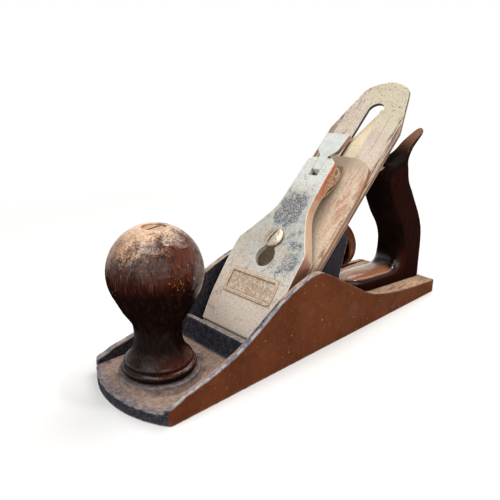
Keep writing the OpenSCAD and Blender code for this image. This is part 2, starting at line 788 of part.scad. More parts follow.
// A block with the panel's outline, drawn in by inset
module panel(inset, h) {
    r = plaque_r - inset;
    l = plaque_w - 2 * inset;
    w = plaque_l - 2 * inset;
    for (x = [-1, 1], y = [-1, 1])
        translate([x * (l / 2 - r), y * (w / 2 - r), 0]) cylinder(h = h, r = r, $fn = 32);
    translate([-l / 2 + r, -w / 2, 0]) cube([l - 2 * r, w, h]);
    translate([-l / 2, -w / 2 + r, 0]) cube([l, w - 2 * r, h]);
}

cam_r = 6.9;
cam_throw = 1;

module cam_lever() {
    arm = notch_w - 0.6;
    face_h = 20;
    arm_t = 2.8;
    paddle_t = 3;
    heel = -3.4;
    tip = 25.4;
    half = paddle_w / 2;
    plan = concat([[heel, arm / 2], [6, arm / 2]],
        curve([[7.1, arm / 2 + 0.3], [8.9, half - 2.8], [10.8, half - 1.2], [13.4, half - 0.7],
            [tip - 2.6, half], [tip - 0.8, half - 0.5], [tip, half - 2]], 3));
    top = curve([[heel, face_h], [4, face_h], [9, face_h + 0.2], [14, face_h + 0.1],
        [tip - 3, face_h - 0.3], [tip - 1, face_h - 1], [tip, face_h - 2.2]], 3);
    bottom = curve([[heel, face_h - arm_t], [5, face_h - arm_t], [10, face_h + 0.4 - paddle_t],
        [15, face_h - paddle_t], [tip - 4.4, face_h - 0.4 - paddle_t],
        [tip - 2.6, face_h - 1.4 - paddle_t], [tip - 1, face_h - 1.7 - paddle_t],
        [tip, face_h - 3.8]], 3);
    color("#c2c6c8")
    on_bed() translate([cam_s, 0, 0]) difference() {
        union() {
            intersection() {
                translate([0, 0, 5]) linear_extrude(face_h) polygon(mirrored(plan));
                across(paddle_w) polygon(concat(bottom, backward(top)));
            }
            translate([-0.2, 0, cam_h - cam_throw]) difference() {
                cross_pin(arm, 2 * cam_r);
                translate([heel - 2 * cam_r, -arm, cam_throw]) cube([2 * cam_r, 2 * arm, cam_r]);
            }
        }
        translate([0, 0, cam_h]) cross_pin(arm + 2, cam_pin_d + 2 * fit);
    }
}

module cam_pin() {
    color("#8a8782")
    on_bed() translate([cam_s, 0, cam_h]) cross_pin(neck_w - 1.2, cam_pin_d);
}

spring_rivet_s = lever_screw_s + 22;
spring_t = 1;
spring_w = 15;
spring_h = 14.2;
rivet_d = 3;

module lever_cap_spring() {
    low = iron_t + cap_t + gap;
    line = concat([[spring_rivet_s - 4, spring_h]], curve([
        [spring_rivet_s + 4, spring_h], [spring_rivet_s + 12, 11],
        [spring_rivet_s + 22, 6.6], [cam_s - 2, low + 0.1], [cam_s + 4, low + 0.6],
        [cam_s + 9, low + 2.8]
    ], 3));
    color("#a99c86")
    on_bed() difference() {
        across(spring_w) polygon(concat(line, backward(raised(line, spring_t))));
        translate([spring_rivet_s, 0, 0]) cylinder(h = 30, d = rivet_d + 2 * fit);
    }
}

module spring_rivets() {
    under_plate = 16.25;
    head = 1;
    color("#8a8782")
    on_bed() translate([spring_rivet_s, 0, 0]) {
        translate([0, 0, spring_h - head - fit]) cylinder(h = head, d = 6);
        translate([0, 0, spring_h - head]) cylinder(h = under_plate - spring_h + head, d = rivet_d);
        translate([0, 0, spring_h + spring_t + fit])
            cylinder(h = under_plate - spring_h - spring_t - fit, d = 7);
    }
}

module lever_cap_screw() {
    head_z = 19.25;
    color("#b7a98c")
    on_bed() translate([lever_screw_s, 0, 0]) difference() {
        union() {
            translate([0, 0, -7.4]) cylinder(h = head_z + 7.4, d = lever_screw_d);
            translate([0, 0, head_z]) rotate_extrude() polygon(concat([[0, 0]],
                [[cap_screw_head_d / 2 - 0.4, 0], [cap_screw_head_d / 2, 0.5]],
                [for (a = [0 : 15 : 90]) [cap_screw_head_d / 2 * cos(a), 0.7 + 1.7 * sin(a)]]
            ));
        }
        rotate([0, 0, 12]) translate([-8, -0.8, head_z + 1]) cube([16, 1.6, 4]);
    }
}

// Knob

module front_knob() {
    r = knob_d / 2;
    flat_r = 8;
    ball_z = boss_top + knob_h - sqrt(r * r - flat_r * flat_r);
    outline = concat(
        [[0, boss_top], [16, boss_top]],
        curve([[16.8, boss_top + 0.4], [18, boss_top + 2.3], [17.7, boss_top + 3.9],
            [16, boss_top + 4.9]], 4),
        curve([[15.7, boss_top + 5.1], [16.5, boss_top + 5.6], [16.2, boss_top + 6.9],
            [14.8, boss_top + 8.5], [13.2, boss_top + 10.5], [12, boss_top + 13.3],
            [11.3, boss_top + 17], [11.4, boss_top + 20.6], [12.2, boss_top + 25],
            [r - 6.4, ball_z - 18.2]], 4),
        [for (a = [-24 : 7 : 60]) [r * cos(a), ball_z + r * sin(a)]],
        [[flat_r, boss_top + knob_h], [0, boss_top + knob_h]]
    );
    color("#5a2317")
    translate([knob_x, 0, 0]) difference() {
        rotate_extrude($fn = 96) polygon(outline);
        translate([0, 0, boss_top - past]) cylinder(h = knob_h + 5, d = grip_bolt_d + 0.6);
        translate([0, 0, boss_top + knob_h - nut_sink]) cylinder(h = 10, d = nut_d + 0.4);
    }
}

nut_sink = 3;
nut_head = 2.6;

// A round nut with a slot, standing on z = 0
module grip_nut() {
    difference() {
        union() {
            cylinder(h = nut_head - 0.6, d = nut_d);
            translate([0, 0, nut_head - 0.6]) cylinder(h = 0.6, d1 = nut_d, d2 = nut_d - 2);
        }
        translate([0, 0, -past]) cylinder(h = nut_head - 0.6, d = grip_bolt_d + 2 * fit);
        translate([-nut_d, -0.8, nut_head - 1.2]) cube([2 * nut_d, 1.6, 3]);
    }
}

module knob_bolt() {
    color("#77736d")
    translate([knob_x, 0, 2.4]) cylinder(h = boss_top + knob_h - nut_sink - 1.4, d = grip_bolt_d);
}

module knob_nut() {
    color("#b0812f")
    translate([knob_x, 0, boss_top + knob_h - nut_sink]) rotate([0, 0, 15]) grip_nut();
}

// Tote, shaped in ribs that stand across its spine from the nose of the foot to the tip of the horn.
// Each rib holds x and height of its front or upper point, x and height of its rear or lower point, its
// half thickness, and the depths over which the front and the rear round off.

bolt_l = 88;
tote_half = tote_w / 2;
tote_rear = -54.2;
foot_top = 11;
foot_band = 4.5;
foot_nose = 17.2;
nose_drop = 4.5;
edge_r = 1;
tote_sunk = -0.6;
foot_round = foot_top - foot_band;
foot_ribs = [
    for (a = [84, 72, 56, 38, 19, 0])
        let (x = foot_nose * sin(a), top = foot_top - nose_drop * (1 - cos(a)))
            [x, top, x, tote_sunk, tote_half * cos(a), top - foot_band, edge_r],
    for (x = [-8, -16])
        [x, foot_top, x, tote_sunk, tote_half, foot_round, edge_r]
];
grip_ribs = [
    [-22, foot_top + 0.1, -25, tote_sunk, tote_half, foot_round, edge_r],
    [-25.6, foot_top + 1, -36, tote_sunk, tote_half, 6.8, edge_r],
    [-27.6, foot_top + 2.8, -46.5, tote_sunk, tote_half, 7.4, edge_r],
    [-28.7, foot_top + 5.6, tote_rear + 1.2, tote_sunk, tote_half, 8, 1.5],
    [-29, 20, tote_rear, 4, tote_half, 8.6, 3], [-29.1, 24, tote_rear, 11, tote_half, 9, 3.4],
    [-28.8, 29, tote_rear, 19, tote_half, 9, 3.4], [-27.6, 34, -53.8, 27, tote_half, 9, 3],
    [-23.9, 41, -52.4, 37, tote_half, 9, 2.8], [-17.7, 49, -47.9, 47.6, tote_half, 9, 2.8],
    [-11.9, 59.3, -41.3, 58.4, tote_half, 9, 2.8], [-8.4, 66, -37.4, 65, tote_half, 9, 2.8]
];
horn_ribs = [
    [-6.5, 72, -34, 70, tote_half, 9, 2.8], [-6.2, 75.4, -32.4, 74, tote_half, 9, 2.8],
    [-7.4, 78.8, -31.9, 77, tote_half - 0.2, 9, 2.8],
    [-10.6, 81.6, -31.8, 79.2, tote_half - 0.4, 8, 2.8],
    [-15.5, 83.6, -31.9, 80.8, tote_half - 0.8, 6, 2.8],
    [-21.5, 85.2, -32.3, 82.2, tote_half - 1.5, 4.6, 2.6],
    [-27.5, 87.5, -33.4, 83.8, tote_half - 2.8, 3.6, 2.4],
    [-32.9, 89.9, -35.4, 86.1, tote_half - 4.4, 2.8, 2],
    [-36.7, 93.2, -39, 89.4, tote_half - 6, 2.6, 1.8],
    [-40.5, 97, -43, 93.2, tote_half - 7, 2.4, 1.8],
    [-45.5, 100.2, -47.7, 97, tote_half - 7.6, 2.1, 1.6],
    [-50.5, 103, -52, 100.6, tote_half - 8.2, 1.6, 1.2],
    [-53.6, 104.9, -54.5, 103.2, tote_half - 9.2, 1, 0.8],
    [-55, 105.6, -55.2, 104.9, tote_half - 10.8, 0.4, 0.3]
];

// The rib as a ring of points in the plane of its two ends and the breadth
function bulge(v, e) = sign(v) * pow(abs(v), e);
function rib(q) =
    let (dx = q[0] - q[2], dz = q[1] - q[3], l = norm([dx, dz]), h = q[4], rf = q[5], rr = q[6]) [
    for (p = concat(
        [for (a = [-90 : 18 : 90]) [l - rf + rf * bulge(cos(a), 0.85), h * bulge(sin(a), 0.72)]],
        [for (a = [90 : 18 : 270]) [rr + rr * bulge(cos(a), 0.6), h * bulge(sin(a), 0.6)]]
    )) [q[2] + dx * p[0] / l, p[1], tote_base + q[3] + dz * p[0] / l]
];

module tote_form() {
    rings = [for (q = curve(concat(foot_ribs, grip_ribs, horn_ribs), 2)) rib(q)];
    n = len(rings[0]);
    m = len(rings);
    points = [for (l = rings) each l];
    faces = concat(
        [[for (i = [0 : n - 1]) i]],
        [for (j = [0 : m - 2], i = [0 : n - 1]) [j * n + i, (j + 1) * n + i, j * n + (i + 1) % n]],
        [for (j = [0 : m - 2], i = [0 : n - 1])
            [(j + 1) * n + i, (j + 1) * n + (i + 1) % n, j * n + (i + 1) % n]],
        [[for (i = [n - 1 : -1 : 0]) (m - 1) * n + i]]
    );
    intersection() {
        polyhedron(points, faces);
        translate([-sole_l, -sole_w, tote_base]) cube([2 * sole_l, 2 * sole_w, sole_l]);
    }
}

module tote() {
    color("#3b1d16")
    difference() {
        in_tote() tote_form();
        along_bolt() {
            translate([0, 0, -10]) cylinder(h = 130, d = grip_bolt_d + 0.6);
            translate([0, 0, bolt_l - nut_head - 0.6]) cylinder(h = 30, d = nut_d + 0.6);
        }
    }
}

module tote_bolt() {
    color("#77736d")
    along_bolt() translate([0, 0, -3]) cylinder(h = bolt_l - 0.6, d = grip_bolt_d);
}

module tote_nut() {
    color("#b0812f")
    along_bolt() translate([0, 0, bolt_l - nut_head - 0.6]) grip_nut();
}

plane_body();
frog();
frog_screws();
frog_washers();
frog_adjusting_screw();
frog_clip();
frog_clip_screw();
yoke();
yoke_pin();
depth_stud();
depth_nut();
lateral_lever();
lateral_lever_rivet();
lateral_roller();
plane_iron();
cap_iron();
cap_iron_screw();
lever_cap();
cam_lever();
cam_pin();
lever_cap_spring();
spring_rivets();
lever_cap_screw();
front_knob();
knob_bolt();
knob_nut();
tote();
tote_bolt();
tote_nut();
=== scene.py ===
"""Looks of the smoothing plane: worn metal, old varnished wood, soft studio light and the camera."""
import math

import bpy
from mathutils import Matrix, Vector

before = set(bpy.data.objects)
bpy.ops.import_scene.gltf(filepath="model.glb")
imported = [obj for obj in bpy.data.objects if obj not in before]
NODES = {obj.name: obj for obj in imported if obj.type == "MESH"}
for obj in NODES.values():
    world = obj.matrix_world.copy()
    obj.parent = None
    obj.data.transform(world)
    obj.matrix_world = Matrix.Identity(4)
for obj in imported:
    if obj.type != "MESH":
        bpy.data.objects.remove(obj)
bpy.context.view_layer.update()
MM = 0.001


# Camera and light

CAMERA_PLACE = Vector((219.97, 189.20, 139.44)) * MM
CAMERA_AZIMUTH = math.radians(135.782)
CAMERA_ELEVATION = math.radians(17.511)
CAMERA_ROLL = math.radians(0.742)
CAMERA_LENS = 37.155
SENSOR = 36.0


def make_camera():
    a, e, r = CAMERA_AZIMUTH, CAMERA_ELEVATION, CAMERA_ROLL
    back = Vector((math.sin(a) * math.cos(e), -math.cos(a) * math.cos(e), math.sin(e)))
    level = Vector((math.cos(a), math.sin(a), 0))
    upright = back.cross(level)
    right = level * math.cos(r) + upright * math.sin(r)
    up = upright * math.cos(r) - level * math.sin(r)
    data = bpy.data.cameras.new("camera")
    data.lens = CAMERA_LENS
    data.sensor_width = SENSOR
    data.clip_start = 0.01
    data.clip_end = 100
    camera = bpy.data.objects.new("camera", data)
    bpy.context.scene.collection.objects.link(camera)
    camera.matrix_world = Matrix.Translation(CAMERA_PLACE) @ Matrix((right, up, back)).transposed().to_4x4()
    bpy.context.scene.camera = camera


def area_light(name, towards, distance, size, power, colour):
    """A round soft lamp that shines on the part from the given direction."""
    data = bpy.data.lights.new(name, "AREA")
    data.shape = "DISK"
    data.size = size
    data.energy = power
    data.color = colour
    lamp = bpy.data.objects.new(name, data)
    bpy.context.scene.collection.objects.link(lamp)
    away = Vector(towards).normalized()
    lamp.location = Vector((0, 0, 0.05)) + away * distance
    lamp.rotation_mode = "QUATERNION"
    lamp.rotation_quaternion = away.to_track_quat("Z", "Y")


def make_lights():
    area_light("key", (-0.60, -0.05, 0.80), 1.1, 1.0, 8, (1, 0.95, 0.88))
    area_light("glint", (-0.17, 0.30, 0.93), 1.1, 0.13, 2.4, (1, 0.99, 0.97))
    area_light("top", (0.36, 0.02, 0.93), 1.1, 0.7, 5, (1, 0.99, 0.97))
    area_light("front", (0.80, 0.25, 0.55), 1.2, 1.2, 4.2, (1, 0.98, 0.96))
    area_light("side", (0.35, 0.9, 0.45), 1.2, 0.8, 2.2, (1, 0.96, 0.91))
    world = bpy.data.worlds.new("studio")
    bpy.context.scene.world = world
    world.use_nodes = True
    nodes, links = world.node_tree.nodes, world.node_tree.links
    nodes.clear()
    rays = nodes.new("ShaderNodeLightPath")
    soft = nodes.new("ShaderNodeBackground")
    soft.inputs["Color"].default_value = (0.95, 0.97, 1, 1)
    sky = nodes.new("ShaderNodeSeparateXYZ")
    links.new(nodes.new("ShaderNodeTexCoord").outputs["Generated"], sky.inputs[0])
    rise = nodes.new("ShaderNodeMapRange")
    links.new(sky.outputs["Z"], rise.inputs["Value"])
    rise.inputs["From Min"].default_value = -0.1
    rise.inputs["From Max"].default_value = 0.9
    rise.inputs["To Min"].default_value = 0.10
    rise.inputs["To Max"].default_value = 0.42
    links.new(rise.outputs["Result"], soft.inputs["Strength"])
    seen = nodes.new("ShaderNodeBackground")
    seen.inputs["Color"].default_value = (1, 1, 1, 1)
    mirrored = nodes.new("ShaderNodeMath")
    mirrored.operation = "MAXIMUM"
    links.new(rays.outputs["Is Glossy Ray"], mirrored.inputs[0])
    links.new(rays.outputs["Is Transmission Ray"], mirrored.inputs[1])
    low = nodes.new("ShaderNodeMapRange")
    links.new(sky.outputs["Z"], low.inputs["Value"])
    low.inputs["From Min"].default_value = 0.15
    low.inputs["From Max"].default_value = 0.5
    low.inputs["To Min"].default_value = 1
    low.inputs["To Max"].default_value = 0
    backdrop = nodes.new("ShaderNodeMath")
    backdrop.operation = "MULTIPLY"
    links.new(mirrored.outputs[0], backdrop.inputs[0])
    links.new(low.outputs["Result"], backdrop.inputs[1])
    white = nodes.new("ShaderNodeMath")
    white.operation = "MAXIMUM"
    links.new(rays.outputs["Is Camera Ray"], white.inputs[0])
    links.new(backdrop.outputs[0], white.inputs[1])
    mix = nodes.new("ShaderNodeMixShader")
    out = nodes.new("ShaderNodeOutputWorld")
    links.new(white.outputs[0], mix.inputs["Fac"])
    links.new(soft.outputs["Background"], mix.inputs[1])
    links.new(seen.outputs["Background"], mix.inputs[2])
    links.new(mix.outputs["Shader"], out.inputs["Surface"])


# Material nodes

BED_X = 49.4
BED_SLOPE = math.radians(45)
KNOB_X = 96.0
TOTE_X = -68.0
TOTE_TURN = math.radians(7)


class Paint:
    """A node material, with one short call for each kind of node. Lengths are in millimetres."""

    def __init__(self, name, metallic=0.0):
        self.material = bpy.data.materials.new(name)
        self.material.use_nodes = True
        self.tree = self.material.node_tree
        self.shader = self.tree.nodes["Principled BSDF"]
        self.shader.inputs["Metallic"].default_value = metallic
        self.geometry = self.add("ShaderNodeNewGeometry")
        scale = self.add("ShaderNodeVectorMath", operation="SCALE")
        self.put(self.add("ShaderNodeTexCoord").outputs["Object"], scale.inputs[0])
        scale.inputs["Scale"].default_value = 1 / MM
        self.place = scale.outputs[0]
        self.x, self.y, self.z = self.split(self.place)
        self.off = self.math("ABSOLUTE", self.y)
        self.normal = self.split(self.geometry.outputs["Normal"])

    def add(self, kind, **settings):
        node = self.tree.nodes.new(kind)
        for key, value in settings.items():
            setattr(node, key, value)
        return node

    def put(self, value, socket):
        if isinstance(value, bpy.types.NodeSocket):
            self.tree.links.new(value, socket)
        elif isinstance(value, tuple) and len(value) == 3 and len(socket.default_value) == 4:
            socket.default_value = (*value, 1)
        else:
            socket.default_value = value

    def split(self, vector):
        node = self.add("ShaderNodeSeparateXYZ")
        self.put(vector, node.inputs[0])
        return node.outputs

    def along(self, direction, start=0.0):
        """How far the place lies along a direction, from a start."""
        node = self.add("ShaderNodeVectorMath", operation="DOT_PRODUCT")
        self.put(self.place, node.inputs[0])
        node.inputs[1].default_value = direction
        return self.math("SUBTRACT", node.outputs["Value"], start)

    def up_bed(self):
        """The distance up the slope from the mouth."""
        c, s = math.cos(BED_SLOPE), math.sin(BED_SLOPE)
        return self.along((-c, 0, s), -c * BED_X)

    def off_bed(self):
        """The distance from the bed."""
        c, s = math.cos(BED_SLOPE), math.sin(BED_SLOPE)
        return self.along((s, 0, c), s * BED_X)

    def stretch(self, scale, turn=(0, 0, 0), shift=(0, 0, 0)):
        """The place turned and then scaled along each axis."""
        node = self.add("ShaderNodeMapping")
        self.put(self.place, node.inputs["Vector"])
        node.inputs["Scale"].default_value = (1, 1, 1)
        node.inputs["Rotation"].default_value = turn
        node.inputs["Location"].default_value = shift
        again = self.add("ShaderNodeVectorMath", operation="MULTIPLY")
        self.put(node.outputs[0], again.inputs[0])
        again.inputs[1].default_value = scale
        return again.outputs[0]

    def bed_grain(self, scale):
        """The place with its first axis up the bed, scaled along each axis."""
        return self.stretch(scale, (0, -BED_SLOPE, 0))

    def noise(self, size, detail=3.0, rough=0.55, warp=0.0, at=None):
        """Cloudy noise with blobs of about that size."""
        node = self.add("ShaderNodeTexNoise")
        self.put(at or self.place, node.inputs["Vector"])
        node.inputs["Scale"].default_value = 1 / size
        node.inputs["Detail"].default_value = detail
        node.inputs["Roughness"].default_value = rough
        node.inputs["Distortion"].default_value = warp
        return node.outputs["Fac"]

    def cells(self, size, at=None):
        node = self.add("ShaderNodeTexVoronoi")
        self.put(at or self.place, node.inputs["Vector"])
        node.inputs["Scale"].default_value = 1 / size
        return node.outputs["Distance"]

    def ramp(self, value, low, high):
        """0 below low, 1 above high, and smooth between them. low above high turns it round."""
        node = self.add("ShaderNodeMapRange", interpolation_type="SMOOTHSTEP", clamp=True)
        self.put(value, node.inputs["Value"])
        ends = (0, 1) if low <= high else (1, 0)
        node.inputs["From Min"].default_value = min(low, high)
        node.inputs["From Max"].default_value = max(low, high)
        node.inputs["To Min"].default_value, node.inputs["To Max"].default_value = ends
        return node.outputs["Result"]

    def band(self, value, low, high, soft):
        """1 between low and high, and 0 outside them."""
        return self.times(self.ramp(value, low - soft, low + soft), self.ramp(value, high + soft, high - soft))

    def blend(self, amount, first, second, how="MIX"):
        node = self.add("ShaderNodeMix", data_type="RGBA", blend_type=how)
        self.put(amount, node.inputs["Factor"])
        self.put(first, node.inputs[6])
        self.put(second, node.inputs[7])
        return node.outputs[2]

    def math(self, how, first, second=0.0):
        node = self.add("ShaderNodeMath", operation=how)
        self.put(first, node.inputs[0])
        self.put(second, node.inputs[1])
        return node.outputs[0]

    def times(self, *values):
        product = values[0]
        for value in values[1:]:
            product = self.math("MULTIPLY", product, value)
        return product

    def plus(self, *values):
        total = values[0]
        for value in values[1:]:
            total = self.math("ADD", total, value)
        return total

    def most(self, *values):
        top = values[0]
        for value in values[1:]:
            top = self.math("MAXIMUM", top, value)
        return top

    def shade(self, reach, inside=False):
        """1 on an open flat surface, and less in corners, or at outer edges where inside is set."""
        node = self.add("ShaderNodeAmbientOcclusion", inside=inside, only_local=inside, samples=6)
        node.inputs["Distance"].default_value = reach * MM
        return node.outputs["AO"]

    def worn_edge(self, reach=1.0, start=0.93, full=0.6):
        return self.ramp(self.shade(reach, True), start, full)

    # Painted shade: a mask that is 1 in corners and recesses where ambient occlusion is low.
    def painted_corner_shade(self, reach=7.0, start=0.75, full=0.3):
        return self.ramp(self.shade(reach), start, full)

    def flat_on_bed(self):
        """1 on surfaces that lie along the bed, 0 on those that stand across it."""
        c, s = math.cos(BED_SLOPE), math.sin(BED_SLOPE)
        node = self.add("ShaderNodeVectorMath", operation="DOT_PRODUCT")
        self.put(self.geometry.outputs["Normal"], node.inputs[0])
        node.inputs[1].default_value = (s, 0, c)
        return self.ramp(self.math("ABSOLUTE", node.outputs["Value"]), 0.6, 0.8)

    def facing(self, axis, low, high):
        """1 where the surface points along a row axis by more than high."""
        return self.ramp(self.normal[axis], low, high)

    def colour(self, value):
        self.put(value, self.shader.inputs["Base Color"])

    def roughness(self, value, low, high):
        """Roughness from low to high as value goes from 0 to 1."""
        node = self.add("ShaderNodeMapRange")
        self.put(value, node.inputs["Value"])
        node.inputs["To Min"].default_value = low
        node.inputs["To Max"].default_value = high
        self.put(node.outputs["Result"], self.shader.inputs["Roughness"])

    def varnish(self, value, most, rough=0.14):
        """A clear coat whose strength goes from 0 to most as value goes from 0 to 1."""
        self.put(self.times(value, most), self.shader.inputs["Coat Weight"])
        self.shader.inputs["Coat Roughness"].default_value = rough

    def bump(self, height, depth, rounding=0.35, coat=False):
        """A bump of that depth, on edges that are rounded by a radius. The coat takes it too where asked."""
        node = self.add("ShaderNodeBump")
        self.put(height, node.inputs["Height"])
        node.inputs["Distance"].default_value = depth * MM
        if rounding:
            soft = self.add("ShaderNodeBevel", samples=4)
            soft.inputs["Radius"].default_value = rounding * MM
            self.put(soft.outputs[0], node.inputs["Normal"])
        self.put(node.outputs["Normal"], self.shader.inputs["Normal"])
        if coat:
            self.put(node.outputs["Normal"], self.shader.inputs["Coat Normal"])


def cast_body():
    """Brown rust outside, dark blue japanning inside with dust on the floor, bare worn rims."""
    p = Paint("cast_body")
    broad, fine, speck = p.noise(26, 4), p.noise(2.6, 5), p.noise(0.8, 2)
    up = p.facing(2, 0.8, 0.97)
    front = p.ramp(p.x, 38, 46)

    rust = p.blend(p.ramp(broad, 0.35, 0.65), (0.102, 0.026, 0.0075), (0.136, 0.037, 0.011))
    rust = p.blend(p.times(p.ramp(fine, 0.48, 0.75), 0.5), rust, (0.17, 0.056, 0.023))
    rust = p.blend(p.times(p.ramp(p.noise(9, 5, 0.65), 0.55, 0.75), 0.55), rust, (0.055, 0.017, 0.008))
    dots = p.times(p.ramp(p.cells(3.4), 0.16, 0.08), p.ramp(p.noise(2.4), 0.56, 0.62))
    rust = p.blend(dots, rust, (0.46, 0.27, 0.15))

    paint = p.blend(p.ramp(fine, 0.4, 0.7), (0.018, 0.018, 0.028), (0.046, 0.044, 0.060))
    paint = p.blend(p.times(p.ramp(speck, 0.55, 0.7), 0.6), paint, (0.13, 0.095, 0.075))
    dusty = p.blend(p.ramp(p.noise(1.6, 4), 0.35, 0.65), (0.24, 0.165, 0.135), (0.36, 0.255, 0.205))
    cover = p.ramp(p.plus(p.noise(10, 4, 0.55), p.times(fine, 0.18)), 0.34, 0.56)
    blue = p.blend(p.ramp(fine, 0.42, 0.62), (0.050, 0.062, 0.125), (0.26, 0.245, 0.26))
    round_toe = p.plus(p.x, p.times(p.y, p.y, 0.0085))
    toe_rim = p.times(p.ramp(p.plus(round_toe, p.times(p.noise(9, 3), 10)), 120, 127), 0.6)
    floor = p.blend(cover, paint, dusty)
    floor = p.blend(toe_rim, floor, blue)
    heel = p.blend(p.ramp(fine, 0.36, 0.62), (0.40, 0.25, 0.165), (0.60, 0.40, 0.27))
    streaks = p.noise(2.2, 5, 0.6, at=p.stretch((0.12, 1, 1)))
    heel = p.blend(p.times(p.ramp(streaks, 0.54, 0.62), 0.7), heel, (0.16, 0.085, 0.055))
    heel = p.blend(p.times(p.ramp(p.x, -108, -119), 0.6), heel, (0.14, 0.10, 0.085))
    floor = p.blend(front, heel, floor)
    knob_x = p.math("SUBTRACT", p.x, KNOB_X)
    from_knob = p.math("POWER", p.plus(p.times(knob_x, knob_x), p.times(p.y, p.y)), 0.5)
    boss = p.times(p.ramp(from_knob, 24, 22), p.ramp(p.z, 7, 9))
    floor = p.blend(boss, floor, p.blend(p.ramp(fine, 0.4, 0.65), (0.105, 0.085, 0.085), (0.20, 0.155, 0.15)))
    ridge = p.times(p.band(p.x, 51, 70, 1), p.ramp(p.z, 12, 14))
    floor = p.blend(ridge, floor, p.blend(p.ramp(fine, 0.4, 0.6), (0.15, 0.13, 0.125), (0.30, 0.26, 0.24)))
    inside = p.blend(p.most(up, p.times(p.ramp(from_knob, 25, 23.5), p.ramp(p.z, 5.0, 5.5))), paint, floor)

    across = p.math("ABSOLUTE", p.normal[1])
    corner = p.times(p.ramp(p.math("ABSOLUTE", p.x), 100, 102), p.ramp(across, 0.62, 0.75), p.ramp(p.off, 28.9, 29.3))
    heel_end = p.times(p.ramp(p.x, -116, -118), p.facing(0, -0.5, -0.8))
    skin = p.blend(p.most(p.ramp(p.off, 31.3, 31.6), corner, heel_end), inside, rust)
    wander = p.times(p.noise(5, 3), 1.6)
    rim = p.times(p.facing(2, 0.3, 0.6), p.ramp(p.plus(p.off, wander), 30.5, 31.1), p.ramp(p.z, 8.6, 9.5))
    pale = p.blend(p.ramp(p.noise(4, 3), 0.40, 0.60), (0.13, 0.15, 0.22), (0.40, 0.37, 0.36))
    tan = p.blend(p.ramp(p.noise(2.5, 4), 0.4, 0.62), (0.26, 0.14, 0.085), (0.48, 0.34, 0.24))
    skin = p.blend(rim, skin, p.blend(p.ramp(p.x, -5, 25), tan, pale))
    worn = p.times(p.worn_edge(), p.ramp(p.noise(3.5, 4), 0.40, 0.55))
    skin = p.blend(p.times(worn, 0.7), skin, p.blend(p.ramp(p.x, -20, 30), (0.30, 0.17, 0.10), (0.40, 0.36, 0.34)))
    sole = p.facing(2, -0.9, -0.98)
    ground = p.blend(p.ramp(p.noise(3, 5, at=p.stretch((0.08, 1, 1))), 0.4, 0.65), (0.15, 0.12, 0.10), (0.33, 0.29, 0.25))
    ground = p.blend(p.times(p.ramp(broad, 0.5, 0.68), 0.8), ground, (0.15, 0.07, 0.035))
    p.colour(p.blend(sole, skin, ground))
    p.roughness(p.most(cover, p.times(fine, 0.8)), 0.32, 0.8)
    p.put(p.times(p.most(sole, p.times(worn, 0.8)), 0.7), p.shader.inputs["Metallic"])
    p.shader.inputs["Specular IOR Level"].default_value = 0.08
    p.bump(p.plus(p.times(fine, 0.8), p.times(speck, 0.7), p.times(dots, 0.5)), 0.16)
    return p.material


def japanned():
    """Dark blue-black paint on rough iron, dusty on top and bare on the edges."""
    p = Paint("japanned")
    fine = p.noise(1.8, 5)
    base = p.blend(p.ramp(fine, 0.4, 0.7), (0.009, 0.008, 0.013), (0.026, 0.023, 0.032))
    base = p.blend(p.times(p.ramp(p.noise(0.8, 3), 0.62, 0.70), 0.5), base, (0.20, 0.12, 0.07))
    dust = p.times(p.facing(2, 0.55, 0.95), p.ramp(p.noise(4, 4), 0.42, 0.62))
    base = p.blend(dust, base, (0.22, 0.17, 0.13))
    machined = p.times(p.ramp(p.off_bed(), -0.3, -0.05), 0.8)
    base = p.blend(machined, base, (0.32, 0.29, 0.26))
    p.colour(p.blend(p.times(p.worn_edge(0.8), p.ramp(fine, 0.42, 0.6)), base, (0.30, 0.26, 0.23)))
    p.roughness(fine, 0.28, 0.6)
    p.shader.inputs["Specular IOR Level"].default_value = 0.06
    p.bump(p.noise(0.9, 3), 0.12)
    return p.material


